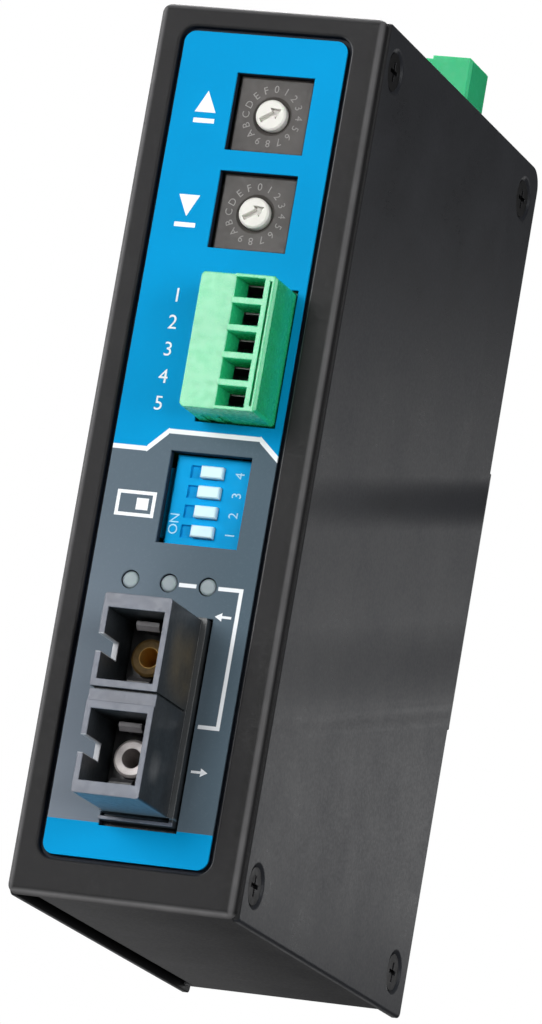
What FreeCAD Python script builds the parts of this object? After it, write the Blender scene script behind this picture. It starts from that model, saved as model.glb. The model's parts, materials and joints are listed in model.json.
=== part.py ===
import FreeCAD
import Part

import math
import os

# Serial to fibre converter for a 35 mm top-hat rail.
# Frame: millimetres, +Z up, the front panel faces -Y, +X is the right-hand side seen from the front.
# Origin: centre of the seat where the rail flanges bear on the rail plate at the back.

V = FreeCAD.Vector

# ---------------------------------------------------------------- driving dimensions
CASE_W = 30.3            # across the covers
CASE_H = 115.0           # height of front panel and covers
COVER_DEPTH = 69.0       # front face to the covers' plain rear edges
FLANGE_DEPTH = 71.6      # front face to the back of the covers' folded rear flanges
PLATE_BASE = 4.0         # rail plate, thickness from the case to the seat
REAR_WALL = 68.9         # front face to the outside of the chassis rear wall
YF = -(REAR_WALL + PLATE_BASE)      # the front face
W2 = CASE_W / 2.0
ZT = CASE_H / 2.0
ZB = -CASE_H / 2.0

PANEL_W2 = 15.05         # half width of the front panel's plate, whose edges overlap the covers
PANEL_LIP = 1.2          # thickness of the plate at those edges
PANEL_RIM_W2 = 13.9      # half width of the rim behind it, which sits between the covers
PANEL_T = 1.5            # front panel wall
PANEL_RIM = 2.4          # depth of the front panel's returned rim
PANEL_R = 0.9            # rounding of the panel's front edge
LABEL_SINK = 0.5         # recess for the front label
LABEL_T = 0.3
COVER_T = 0.9
COVER_FRONT = 1.5        # covers' front edges, behind the front face
SHEET_T = 1.2            # chassis sheet

LABEL_X0, LABEL_X1 = -11.3, 10.5
LABEL_Z0, LABEL_Z1 = -52.1, 54.1
LABEL_R = 1.5
GROOVE_W, GROOVE_D = 0.6, 1.0       # groove in the panel round the label

ROT_X = 1.65             # rotary code switches
ROT_Z = (44.05, 31.3)
ROT_WIN = (10.4, 10.1)
ROT_BODY = 10.0
ROT_FACE = 1.35          # face of the switch behind the front face
DIAL_R = 2.0
DIAL_TOP = 0.6

DIP_X, DIP_Z = 1.85, -5.9           # mode switch, four sliders
DIP_WIN = (10.8, 11.8)
DIP_BODY = (10.2, 11.7)
DIP_FACE = 2.0
DIP_PITCH = 2.54
SLIDER_W, SLIDER_H = 2.88, 1.5
SLIDER_TRAVEL = 1.5

LED_X = (-5.95, -0.85, 4.3)
LED_Z = -16.8
LED_R = 1.1

FIB_X = 0.3              # fibre transceiver, two ports one above the other
FIB_Z = (-27.4, -40.1)
FIB_NOSE_W = 8.8
FIB_NOSE_Z = (-46.2, -21.1)
FIB_WEB_Z = (-34.6, -32.8)          # web between the two ports, a little behind their rims
FIB_OUT = 12.0           # how far the nose stands out of the front face
PORT_W, PORT_H, PORT_D = 7.4, 9.0, 10.5
SLEEVE_RO, SLEEVE_RI = 2.4, 1.25   # sleeve for a 2.5 mm ferrule

SER_X, SER_Z = -0.66, 12.82         # five-way serial terminal: shift of the whole block to the left, height of its middle
SER_N, SER_PITCH = 5, 3.5
POW_Y = YF + 53.0        # two-way power terminal on the top
POW_N, POW_PITCH = 2, 3.81
POW_V0 = 58.0            # height that the power plug's inner shoulder is counted from
SER_OUT, POW_OUT = 7.2, 9.0         # how far each plug stands out
SER_LEFT, POW_LEFT = -0.25, -0.9    # screw side of each plug
PLUG_SHOULDER = 1.5      # depth of the plug's shoulder, just behind the panel
PIN_X = 6.35             # line of the header pins and of the wire entries
SCREW_V = -2.1           # line of the terminal screws, in front of the panel
CLAMP_TRAVEL = 1.3

BOARD_A = (-6.1, -4.5)   # main board, between these X
BOARD_B = (10.6, 12.2)   # power board

SCREW_Y = (YF + 6.0, YF + 63.5)     # cover screws
SCREW_Z = 52.3

PLATE_W = 19.3           # rail plate


# ---------------------------------------------------------------- small helpers
def box(x0, x1, y0, y1, z0, z1):
    return Part.makeBox(x1 - x0, y1 - y0, z1 - z0, V(x0, y0, z0))


def cyl_x(r, x0, x1, y, z):
    return Part.makeCylinder(r, x1 - x0, V(x0, y, z), V(1, 0, 0))


def cyl_y(r, y0, y1, x, z):
    return Part.makeCylinder(r, y1 - y0, V(x, y0, z), V(0, 1, 0))


def cone_x(r0, r1, x0, x1, y, z):
    return Part.makeCone(r0, r1, x1 - x0, V(x0, y, z), V(1, 0, 0))


def cone_y(r0, r1, y0, y1, x, z):
    return Part.makeCone(r0, r1, y1 - y0, V(x, y0, z), V(0, 1, 0))


def prism(points, direction):
    pts = [V(*p) for p in points]
    wire = Part.makePolygon(pts + [pts[0]])
    return Part.Face(wire).extrude(V(*direction))


def hexagon_x(af, x0, x1, y, z):
    r = af / math.sqrt(3.0)
    pts = [(x0, y + r * math.cos(math.radians(60 * i)), z + r * math.sin(math.radians(60 * i))) for i in range(6)]
    return prism(pts, (x1 - x0, 0, 0))


def rounded_plate_y(x0, x1, z0, z1, r, y0, y1):
    """Plate normal to Y with four rounded corners."""
    b = box(x0, x1, y0, y1, z0, z1)
    edges = [e for e in b.Edges if abs(e.tangentAt(e.FirstParameter).y) > 0.99]
    return b.makeFillet(r, edges)


def rounded_plate_x(y0, y1, z0, z1, radii, x0, x1):
    """Plate normal to X; radii for (front bottom, rear bottom, rear top, front top)."""
    b = box(x0, x1, y0, y1, z0, z1)
    for (yy, zz), r in zip(((y0, z0), (y1, z0), (y1, z1), (y0, z1)), radii):
        edges = [e for e in b.Edges if abs(e.tangentAt(e.FirstParameter).x) > 0.99
                 and abs(e.CenterOfMass.y - yy) < 1e-6 and abs(e.CenterOfMass.z - zz) < 1e-6]
        b = b.makeFillet(r, edges)
    return b


def fillet_where(shape, r, test):
    edges = [e for e in shape.Edges if test(e)]
    return shape.makeFillet(r, edges)


def chamfer_where(shape, d, test):
    edges = [e for e in shape.Edges if test(e)]
    return shape.makeChamfer(d, edges)


def along(e, axis):
    t = e.tangentAt((e.FirstParameter + e.LastParameter) / 2.0)
    return abs(getattr(t, axis)) > 0.999


def cut(shape, *tools):
    for t in tools:
        shape = shape.cut(t)
    return shape


def mirror_x(shape):
    return shape.mirror(V(0, 0, 0), V(1, 0, 0))


PARTS = {}


def keep(name, shape):
    solids = shape if isinstance(shape, list) else [shape]
    flat = []
    for s in solids:
        flat.extend(s.Solids)
    PARTS[name] = flat


# ---------------------------------------------------------------- front panel openings
def windows(y0, y1, grow=0.0):
    g = grow
    out = []
    for z in ROT_Z:
        out.append(box(ROT_X - ROT_WIN[0] / 2 - g, ROT_X + ROT_WIN[0] / 2 + g, y0, y1, z - ROT_WIN[1] / 2 - g, z + ROT_WIN[1] / 2 + g))
    out.append(box(DIP_X - DIP_WIN[0] / 2 - g, DIP_X + DIP_WIN[0] / 2 + g, y0, y1, DIP_Z - DIP_WIN[1] / 2 - g, DIP_Z + DIP_WIN[1] / 2 + g))
    out.append(box(SER_X - 0.5 - g, SER_X + 10.15 + g, y0, y1, SER_Z - 8.9 - g, SER_Z + 8.9 + g))
    out.append(box(-4.5 - g, 5.8 + g, y0, y1, -47.9 - g, -20.75 + g))
    for x in LED_X:
        out.append(cyl_y(LED_R + 0.1 + g, y0, y1, x, LED_Z))
    return out


# ---------------------------------------------------------------- front panel: a pressed tray with four screw ears
panel = box(-PANEL_W2, PANEL_W2, YF, YF + PANEL_LIP, ZB, ZT)
panel = fillet_where(panel, 1.2, lambda e: along(e, "y"))
panel = fillet_where(panel, PANEL_R, lambda e: abs(e.CenterOfMass.y - YF) < 1e-6)
rim = box(-PANEL_RIM_W2, PANEL_RIM_W2, YF + PANEL_LIP - 0.2, YF + PANEL_RIM, ZB + 0.2, ZT - 0.2)
rim = fillet_where(rim, 0.7, lambda e: along(e, "y"))
panel = panel.fuse(rim).removeSplitter()
panel = panel.cut(box(-PANEL_RIM_W2 + 1.15, PANEL_RIM_W2 - 1.15, YF + PANEL_T, YF + PANEL_RIM + 1, ZB + 1.2, ZT - 1.2))
seat = rounded_plate_y(LABEL_X0, LABEL_X1, LABEL_Z0, LABEL_Z1, LABEL_R, YF + LABEL_SINK, YF + 5)
groove = rounded_plate_y(LABEL_X0 - GROOVE_W, LABEL_X1 + GROOVE_W, LABEL_Z0 - GROOVE_W, LABEL_Z1 + GROOVE_W, LABEL_R + GROOVE_W, YF - 1, YF + GROOVE_D)
panel = panel.cut(groove.cut(seat)).removeSplitter()
panel = fillet_where(panel, 0.3, lambda e: abs(e.BoundBox.YMin - YF) < 1e-5 and abs(e.BoundBox.YMax - YF) < 1e-5
                     and abs(e.CenterOfMass.x) < 12.5 and abs(e.CenterOfMass.z) < 55.5)
panel = cut(panel, *windows(YF - 1, YF + PANEL_T + 0.5))
for sx in (1, -1):
    for sz in (1, -1):
        x0, x1 = sorted((sx * (PANEL_RIM_W2 - 1.15), sx * PANEL_RIM_W2))
        z0, z1 = sorted((sz * 47.6, sz * 55.0))
        ear = box(x0, x1, YF + PANEL_T - 0.2, YF + 10.5, z0, z1)
        ear = fillet_where(ear, 1.5, lambda e: along(e, "x") and abs(e.CenterOfMass.y - (YF + 10.5)) < 1e-6)
        ear = ear.cut(cyl_x(1.25, x0 - 1, x1 + 1, SCREW_Y[0], sz * SCREW_Z))
        panel = panel.fuse(ear)
panel = panel.removeSplitter()
keep("front_panel", panel)

# ---------------------------------------------------------------- front label
label = rounded_plate_y(LABEL_X0, LABEL_X1, LABEL_Z0, LABEL_Z1, LABEL_R, YF + LABEL_SINK - LABEL_T, YF + LABEL_SINK)
label = cut(label, *windows(YF - 1, YF + 2, 0.0))
keep("front_label", label)

# ---------------------------------------------------------------- chassis: top, rear and bottom walls folded from one sheet
CZ = 56.4                # outside of the top wall
CZB = -56.8              # outside of the bottom wall
CHASSIS_W2 = 14.1
outer = box(-CHASSIS_W2, CHASSIS_W2, YF + PANEL_RIM + 0.1, YF + REAR_WALL, CZB, CZ)
outer = fillet_where(outer, 2.0, lambda e: along(e, "x") and abs(e.CenterOfMass.y - (YF + REAR_WALL)) < 1e-6)
inner = box(-20, 20, YF - 5, YF + REAR_WALL - SHEET_T, CZB + SHEET_T, CZ - SHEET_T)
inner = fillet_where(inner, 0.8, lambda e: along(e, "x") and abs(e.CenterOfMass.y - (YF + REAR_WALL - SHEET_T)) < 1e-6)
chassis = outer.cut(inner)
for sx in (1, -1):
    for sz in (1, -1):
        x0, x1 = sorted((sx * (CHASSIS_W2 - SHEET_T), sx * CHASSIS_W2))
        z0, z1 = (47.6, CZ - 0.4) if sz > 0 else (CZB + 0.4, -47.6)
        ear = box(x0, x1, YF + 58.5, YF + REAR_WALL - 0.6, z0, z1)
        if sz > 0:
            ear = ear.cut(box(x0 - 1, x1 + 1, YF + REAR_WALL - 2.0, YF + 90, CZ - 2.0, CZ + 5).cut(cyl_x(2.0, x0 - 1, x1 + 1, YF + REAR_WALL - 2.0, CZ - 2.0)))
        else:
            ear = ear.cut(box(x0 - 1, x1 + 1, YF + REAR_WALL - 2.0, YF + 90, CZB - 5, CZB + 2.0).cut(cyl_x(2.0, x0 - 1, x1 + 1, YF + REAR_WALL - 2.0, CZB + 2.0)))
        ear = ear.cut(cyl_x(1.25, x0 - 1, x1 + 1, SCREW_Y[1], sz * SCREW_Z))
        chassis = chassis.fuse(ear)
TABS = [(YF + 18.0, 49.0), (YF + 40.0, 49.0), (YF + 32.0, -49.0), (YF + 60.0, -49.0)]
for ty, tz in TABS:
    z0, z1 = (tz - 4.0, CZ - 0.4) if tz > 0 else (CZB + 0.4, tz + 4.0)
    tab = box(BOARD_A[0] - SHEET_T, BOARD_A[0], ty - 4.0, ty + 4.0, z0, z1)
    tab = fillet_where(tab, 1.5, lambda e: along(e, "x") and abs(e.CenterOfMass.z - (tz - 4.0 if tz > 0 else tz + 4.0)) < 1e-6)
    tab = tab.cut(cyl_x(1.25, -20, 20, ty, tz))
    chassis = chassis.fuse(tab)
chassis = chassis.cut(box(-1.2, 10.75, POW_Y - 4.8, POW_Y + 4.8, 50.0, 60.0))
# narrow gap between the bottom wall and the left cover
chassis = chassis.cut(box(-CHASSIS_W2 - 1, -12.75, YF, YF + 66.0, CZB - 1, -54.6))
# the rear wall's side edges are taken off where the covers fold round them
for sx in (1, -1):
    xe, ye = CHASSIS_W2, YF + REAR_WALL
    chassis = chassis.cut(prism([(sx * (xe - 1.3), ye + 0.1, -19.5), (sx * (xe + 0.1), ye + 0.1, -19.5), (sx * (xe + 0.1), ye - 1.3, -19.5)], (0, 0, 36.5)))
PLATE_SCREW_Z = (-8.0, 8.0)
for z in PLATE_SCREW_Z:
    chassis = chassis.cut(cyl_y(1.25, YF + 60, YF + 75, 0, z))
chassis = chassis.removeSplitter()
keep("chassis", chassis)

# ---------------------------------------------------------------- side covers: flat sheet with a folded flange behind the rear wall
FL_Z0, FL_Z1 = -18.5, 16.0
FL_R = 2.8


def cover():
    c = rounded_plate_x(YF + COVER_FRONT, YF + COVER_DEPTH, ZB, ZT, (1.1, 0.8, 3.0, 0.8), W2 - COVER_T, W2)
    # small rounding all round the outer face
    c = fillet_where(c, 0.3, lambda e: abs(e.BoundBox.XMin - W2) < 1e-6 and abs(e.BoundBox.XMax - W2) < 1e-6)
    yb = YF + FLANGE_DEPTH
    # the fold, drawn in plan
    c = c.cut(box(W2 - 5, W2 + 5, yb - FL_R, yb + 5, FL_Z0, FL_Z1))
    ri = FL_R - COVER_T
    p = [V(W2, yb - FL_R, FL_Z0), V(W2 - FL_R * (1 - math.sqrt(0.5)), yb - FL_R * (1 - math.sqrt(0.5)), FL_Z0), V(W2 - FL_R, yb, FL_Z0),
         V(10.15, yb, FL_Z0), V(10.15, yb - COVER_T, FL_Z0), V(W2 - FL_R, yb - COVER_T, FL_Z0),
         V(W2 - FL_R + ri * math.sqrt(0.5), yb - FL_R + ri * math.sqrt(0.5), FL_Z0), V(W2 - COVER_T, yb - FL_R, FL_Z0)]
    wire = Part.Wire([
        Part.Arc(p[0], p[1], p[2]).toShape(), Part.LineSegment(p[2], p[3]).toShape(), Part.LineSegment(p[3], p[4]).toShape(),
        Part.LineSegment(p[4], p[5]).toShape(), Part.Arc(p[5], p[6], p[7]).toShape(), Part.LineSegment(p[7], p[0]).toShape()])
    fold = Part.Face(wire).extrude(V(0, 0, FL_Z1 - FL_Z0))
    c = c.fuse(fold).removeSplitter()
    for y in SCREW_Y:
        for sz in (1, -1):
            c = c.cut(cyl_x(1.75, 0, 40, y, sz * SCREW_Z))
            c = c.cut(cone_x(1.75, 3.05, W2 - 0.85, W2 + 0.08, y, sz * SCREW_Z))
    return c


right = cover()
keep("right_cover", right)
keep("left_cover", mirror_x(right))


# ---------------------------------------------------------------- countersunk cover screws, cross recess
def cross_x(x, depth, y, z, half, w):
    a = box(x - depth, x + 1, y - half, y + half, z - w / 2, z + w / 2)
    b = box(x - depth, x + 1, y - w / 2, y + w / 2, z - half, z + half)
    return a.fuse(b)


def cover_screw(y, z):
    top = W2 - 0.22
    s = cone_x(1.6, 2.4, top - 0.72, top - 0.10, y, z).fuse(cyl_x(2.4, top - 0.10, top, y, z))
    s = s.fuse(cyl_x(1.23, 12.45, top - 0.68, y, z)).fuse(cyl_x(1.6, 14.15, top - 0.68, y, z))
    s = s.cut(cross_x(top, 0.7, y, z, 1.3, 0.55))
    return s.removeSplitter()


screws = []
for y in SCREW_Y:
    for sz in (1, -1):
        s = cover_screw(y, sz * SCREW_Z)
        screws += [s, mirror_x(s)]
keep("cover_screws", screws)

# ---------------------------------------------------------------- rail plate, its spring and screws
PZ0, PZ1 = -20.6, 23.0
LIP_Y0, LIP_Y1 = 1.35, 4.2
prof = [(0, -PLATE_BASE, PZ0), (0, -PLATE_BASE, PZ1), (0, LIP_Y1, PZ1), (0, LIP_Y1, 16.3), (0, LIP_Y0 + 0.8, 15.5), (0, LIP_Y0, 15.5),
        (0, LIP_Y0, 20.9), (0, -0.3, 20.9), (0, -0.3, 15.35), (0, 0.0, 15.35), (0, 0.0, -15.8), (0, -0.3, -15.8),
        (0, -0.3, -17.6), (0, LIP_Y0, -17.6), (0, LIP_Y0, -16.1), (0, LIP_Y0 + 0.5, -16.1), (0, LIP_Y1 - 0.9, -17.3), (0, LIP_Y1 - 0.9, PZ0)]
plate = prism([(-PLATE_W / 2, y, z) for _, y, z in prof], (PLATE_W, 0, 0))
plate = fillet_where(plate, 0.8, lambda e: along(e, "x") and (
    (abs(e.CenterOfMass.y - LIP_Y1) < 1e-6 and abs(e.CenterOfMass.z - PZ1) < 1e-6)
    or (abs(e.CenterOfMass.y - (LIP_Y1 - 0.9)) < 1e-6 and abs(e.CenterOfMass.z - PZ0) < 1e-6)))
# the ends of the spring slot are staked shut
for sx in (1, -1):
    x0, x1 = sorted((sx * (PLATE_W / 2 - 0.7), sx * PLATE_W / 2))
    plate = plate.fuse(box(x0, x1, -0.6, LIP_Y0 + 0.3, 19.0, 21.2))
plate = plate.removeSplitter()
for z in PLATE_SCREW_Z:
    plate = plate.cut(cyl_y(1.65, -10, 10, 0, z)).cut(cone_y(1.65, 3.2, -1.55, 0.0, 0, z)).cut(cyl_y(3.2, 0.0, 1.0, 0, z))
keep("rail_plate", plate)

# bowed leaf spring that the top edge of the rail pushes up
SX = 8.6
lo, hi = 17.45, 18.45
a0, a1, a2 = V(-SX, -0.2, hi), V(0, -0.2, lo), V(SX, -0.2, hi)
t = 0.55
b0, b1, b2 = V(-SX, -0.2, hi + t), V(0, -0.2, lo + t), V(SX, -0.2, hi + t)
sw = Part.Wire([Part.Arc(a0, a1, a2).toShape(), Part.LineSegment(a2, b2).toShape(), Part.Arc(b2, b1, b0).toShape(), Part.LineSegment(b0, a0).toShape()])
keep("rail_spring", Part.Face(sw).extrude(V(0, LIP_Y0 + 0.2 - 0.1, 0)))

psc = []
for z in PLATE_SCREW_Z:
    s = cone_y(1.5, 2.95, -1.55, -0.15, 0, z).fuse(cyl_y(1.5, -3.95, -1.5, 0, z)).fuse(cyl_y(1.23, -7.6, -3.9, 0, z))
    s = s.cut(box(-1.5, 1.5, -1.0, 1.0, z - 0.28, z + 0.28)).cut(box(-0.28, 0.28, -1.0, 1.0, z - 1.5, z + 1.5))
    psc.append(s.removeSplitter())
keep("rail_plate_screws", psc)


# ---------------------------------------------------------------- terminal blocks
# Local frame of a terminal: w along X, v into the case, u along the row of poles.
# reach is how far the plug stands out, shift how far the block stands off towards -X from its usual place on the board.
def terminal(n, pitch, reach, shift, wl):
    out = {}
    half = n * pitch / 2.0 - 0.1
    poles = [(i - (n - 1) / 2.0) * pitch for i in range(n)]
    wr = 9.9
    front, shoulder = -reach, PLUG_SHOULDER
    sv = SCREW_V
    # plug body with its nose
    body = box(wl, wr, front, shoulder, -half, half)
    # the screw side of the front face is a little lower than the wire entries
    body = body.cut(box(wl - 1, 4.4, front - 1, front + 0.45, -half - 1, half + 1))
    body = chamfer_where(body, 0.35, lambda e: abs(e.CenterOfMass.x - 4.4) > 0.01 and (along(e, "y") or (along(e, "z") and abs(e.CenterOfMass.x - wr) < 1e-6)))
    body = body.cut(box(9.0, 9.3, front - 1, front + 0.5, -half + 0.7, half - 0.7))
    nose = box(3.0, 9.4, shoulder - 0.5, 9.3, -half + 0.45, half - 0.45)
    nose = chamfer_where(nose, 0.4, lambda e: abs(e.CenterOfMass.y - 9.3) < 1e-6)
    body = body.fuse(nose).removeSplitter()
    # marks of the parting ribs on both ends and grip ribs on the wire side
    for sgn in (1, -1):
        for wa in (1.2, 3.4):
            u0, u1 = sorted((sgn * (half - 0.15), sgn * (half + 1)))
            body = body.cut(box(wa, wa + 1.1, -2.6, shoulder + 0.01, u0, u1))
    for u in poles:
        m0, m1 = max(u - 1.35, -half + 0.4), min(u + 1.35, half - 0.4)
        body = body.cut(box(4.4, 8.35, front - 1, front + 0.3, m0, m1))                   # wire entry, wider at the mouth
        mouth = [Part.makePolygon([V(a, y, c), V(b, y, c), V(b, y, d), V(a, y, d), V(a, y, c)])
                 for a, b, y, c, d in ((4.4, 8.35, front + 0.29, m0, m1), (5.2, 8.3, sv - 2.3, u - 0.98, u + 0.98))]
        body = body.cut(Part.makeLoft(mouth, True, True))
        body = body.cut(box(5.2, 8.3, sv - 2.31, sv + 2.2, u - 0.98, u + 0.98))         # wire entry
        body = body.cut(box(1.6, 9.05, sv - 2.1, sv + 2.2, u - 1.25, u + 1.25))                # clamp chamber
        body = body.cut(cyl_x(1.3, wl - 1, 1.25, 0, 0).translated(V(0, sv, u)))           # screw head well
        body = body.cut(cyl_x(0.95, 1.0, 2.0, 0, 0).translated(V(0, sv, u)))              # screw shank hole
        body = body.cut(box(3.75, 8.1, sv + 2.1, sv + 3.0, u - 1.0, u + 1.0))              # contact cross web
        body = body.cut(box(5.2, 7.5, sv + 2.9, 8.4, u - 1.0, u + 1.0))                  # contact cage in the nose
        body = body.cut(box(5.75, 6.95, 8.3, 10.0, u - 0.65, u + 0.65))                  # pin entry
    out["plug"] = body
    # contacts: clamp bar, cross web and two leaves that hold the pin
    cons = []
    for u in poles:
        c = box(3.85, 4.35, sv - 2.0, sv + 2.85, u - 0.7, u + 0.7)
        c = c.fuse(box(3.85, 7.45, sv + 2.35, sv + 2.85, u - 0.7, u + 0.7))
        c = c.fuse(box(5.45, 5.85, sv + 2.6, 8.0, u - 0.7, u + 0.7)).fuse(box(6.85, 7.25, sv + 2.6, 8.0, u - 0.7, u + 0.7))
        cons.append(c.removeSplitter())
    out["contacts"] = cons
    # screws and rising clamps
    out["screws"], out["clamps"] = [], []
    for u in poles:
        s = cyl_x(1.18, -0.15, 1.2, sv, u).fuse(cyl_x(0.8, 1.1, 3.75, sv, u))
        s = s.cut(box(-0.3, 0.45, sv - 1.5, sv + 1.5, u - 0.22, u + 0.22))
        s = chamfer_where(s.removeSplitter(), 0.12, lambda e: abs(e.CenterOfMass.x - 3.75) < 1e-6)
        out["screws"].append(s)
        k = box(2.95, 8.98, sv - 1.85, sv + 1.85, u - 1.17, u + 1.17)
        k = k.cut(box(3.6, 8.4, sv - 3, sv + 3, u - 0.82, u + 0.82))
        k = k.cut(cyl_x(0.86, 2, 4, sv, u))
        out["clamps"].append(k)
    # header: a shroud open to the front, on the power board
    hh = half + 0.75
    hf = shoulder + 0.1
    h = box(2.2, BOARD_B[0] - shift, hf, 11.1, -hh, hh)
    h = h.cut(box(2.85, 9.55, hf - 1, 9.45, -half + 0.3, half - 0.3))
    for sgn in (1, -1):
        u0, u1 = sorted((sgn * (half - 2.4), sgn * (half - 4.2)))
        h = h.cut(box(2.0, 2.6, hf - 1, 5.0, u0, u1))
    pins = []
    for u in poles:
        h = h.cut(box(PIN_X - 0.45, PIN_X + 0.45, 9.0, 12.0, u - 0.45, u + 0.45))
        p = box(PIN_X - 0.45, PIN_X + 0.45, 3.4, 12.1, u - 0.45, u + 0.45)
        p = chamfer_where(p, 0.18, lambda e: abs(e.CenterOfMass.y - 3.4) < 1e-6)
        p = p.fuse(box(PIN_X - 0.45, 13.2 - shift, 11.2, 12.1, u - 0.45, u + 0.45)).removeSplitter()
        pins.append(p)
    out["header"], out["pins"] = h, pins
    out["poles"] = poles
    return out


def to_front(s):
    return s.translated(V(SER_X, YF, SER_Z))


def to_top(s):
    t = s.copy()
    t.rotate(V(0, 0, 0), V(1, 0, 0), -90)      # v becomes -Z, u becomes +Y
    return t.translated(V(0, POW_Y, POW_V0))


for prefix, n, pitch, place, reach, shift, left in (("serial", SER_N, SER_PITCH, to_front, SER_OUT, SER_X, SER_LEFT),
                                                   ("power", POW_N, POW_PITCH, to_top, POW_OUT, 0.0, POW_LEFT)):
    tb = terminal(n, pitch, reach, shift, left)
    keep(prefix + "_plug", place(tb["plug"]))
    keep(prefix + "_plug_contacts", [place(s) for s in tb["contacts"]])
    for i in range(n):
        # poles count from the top on the front block and from the front on the top block
        j = n - 1 - i if prefix == "serial" else i
        keep("%s_screw_%d" % (prefix, i + 1), place(tb["screws"][j]))
        keep("%s_clamp_%d" % (prefix, i + 1), place(tb["clamps"][j]))
    keep(prefix + "_header", place(tb["header"]))
    keep(prefix + "_header_pins", [place(s) for s in tb["pins"]])

# ---------------------------------------------------------------- rotary code switches and their dials
for name, z in (("upper", ROT_Z[0]), ("lower", ROT_Z[1])):
    h = ROT_BODY / 2
    b = box(ROT_X - h, ROT_X + h, YF + ROT_FACE, YF + 9.5, z - h, z + h)
    b = chamfer_where(b, 0.3, lambda e: abs(e.CenterOfMass.y - (YF + ROT_FACE)) < 1e-6)
    b = b.fuse(box(BOARD_A[1], ROT_X - h + 0.2, YF + 3.6, YF + 9.0, z - 4.0, z + 4.0)).removeSplitter()
    b = b.cut(cyl_y(DIAL_R + 0.06, YF, YF + 6.0, ROT_X, z))
    b = b.cut(cone_y(DIAL_R + 0.55, DIAL_R + 0.06, YF + ROT_FACE - 0.01, YF + ROT_FACE + 0.45, ROT_X, z))
    keep("rotary_switch_" + name, b)
    d = cyl_y(DIAL_R, YF + DIAL_TOP, YF + 5.8, ROT_X, z)
    d = chamfer_where(d, 0.22, lambda e: abs(e.CenterOfMass.y - (YF + DIAL_TOP)) < 1e-6 and len(e.Vertexes) == 1)
    # arrow-shaped screwdriver slot
    slot = [(-0.34, -1.5), (0.34, -1.5), (0.34, 0.35), (0.85, 0.35), (0.0, 1.5), (-0.85, 0.35), (-0.34, 0.35)]
    ang = math.radians(-58.0)
    pts = [(ROT_X + px * math.cos(ang) - pz * math.sin(ang), YF + DIAL_TOP - 0.5, z + px * math.sin(ang) + pz * math.cos(ang)) for px, pz in slot]
    d = d.cut(prism(pts, (0, 1.15, 0)))
    keep("rotary_dial_" + name, d)

# ---------------------------------------------------------------- four-way mode switch and its sliders
bw, bh = DIP_BODY[0] / 2, DIP_BODY[1] / 2
b = box(DIP_X - bw, DIP_X + bw, YF + DIP_FACE, YF + 8.5, DIP_Z - bh, DIP_Z + bh)
b = chamfer_where(b, 0.25, lambda e: abs(e.CenterOfMass.y - (YF + DIP_FACE)) < 1e-6)
b = b.fuse(box(BOARD_A[1], DIP_X - bw + 0.2, YF + 4.0, YF + 8.0, DIP_Z - 4.5, DIP_Z + 4.5)).removeSplitter()
SLOT_X0, SLOT_X1 = -1.18, 3.36
for i in range(4):
    z = DIP_Z + (i - 1.5) * DIP_PITCH
    # shallow slot for the slider, a slit for its stem and a room behind for its foot
    f = YF + DIP_FACE
    b = b.cut(box(SLOT_X0, SLOT_X1, YF, f + 0.4, z - SLIDER_H / 2 - 0.07, z + SLIDER_H / 2 + 0.07))
    b = b.cut(box(0.44, 2.96, YF, f + 2.6, z - 0.35, z + 0.35))
    b = b.cut(box(0.44, 2.96, f + 1.5, f + 2.6, z - 0.75, z + 0.75))
    s = box(SLOT_X1 - 0.06 - SLIDER_W, SLOT_X1 - 0.06, f - 0.85, f + 0.35, z - SLIDER_H / 2, z + SLIDER_H / 2)
    s = chamfer_where(s, 0.15, lambda e: abs(e.CenterOfMass.y - (f - 0.85)) < 1e-6)
    s = s.fuse(box(2.0, 2.9, f + 0.3, f + 2.5, z - 0.28, z + 0.28)).fuse(box(2.0, 2.9, f + 1.6, f + 2.5, z - 0.68, z + 0.68)).removeSplitter()
    keep("mode_slider_%d" % (i + 1), s)
keep("mode_switch_body", b)

# ---------------------------------------------------------------- fibre transceiver
x0, x1 = FIB_X - FIB_NOSE_W / 2, FIB_X + FIB_NOSE_W / 2
nose = box(x0, x1, YF - FIB_OUT, YF + 2.0, FIB_NOSE_Z[0], FIB_NOSE_Z[1])
nose = fillet_where(nose, 0.35, lambda e: along(e, "y"))
zm = (FIB_Z[0] + FIB_Z[1]) / 2
w0, w1 = FIB_WEB_Z
nose = nose.cut(box(x0 - 1, x1 + 1, YF - FIB_OUT - 1, YF - FIB_OUT + 0.3, w0, w1))                     # web set back from the rims
nose = nose.cut(box(x0 - 1, x1 + 1, YF - FIB_OUT - 1, YF - FIB_OUT + 0.95, w1 - 0.32, w1))              # groove under the upper port
for xa, xb in ((x0 - 1, x0 + 0.35), (x1 - 0.35, x1 + 1)):
    nose = nose.cut(box(xa, xb, YF - FIB_OUT - 1, YF - 1.4, w1 - 0.32, w1))                            # seam down both sides
foot = box(x0 - 0.2, 5.45, YF - 0.9, YF + 2.0, -47.25, FIB_NOSE_Z[1] + 0.2)                               # collar in the panel's opening
foot = fillet_where(foot, 0.3, lambda e: along(e, "y") and e.CenterOfMass.z > -40)
foot = foot.cut(box(x0 - 1, 4.95, YF - 2, YF + 1.2, -46.85, FIB_NOSE_Z[0]))                             # a slit leaves a thin lip along its lower edge
rear = box(BOARD_A[1], 6.2, YF + 1.7, YF + 26.0, -48.6, -20.4)
rear = chamfer_where(rear, 0.6, lambda e: along(e, "y") and e.CenterOfMass.x > 0)
fib = nose.fuse(foot).fuse(rear).removeSplitter()
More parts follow.
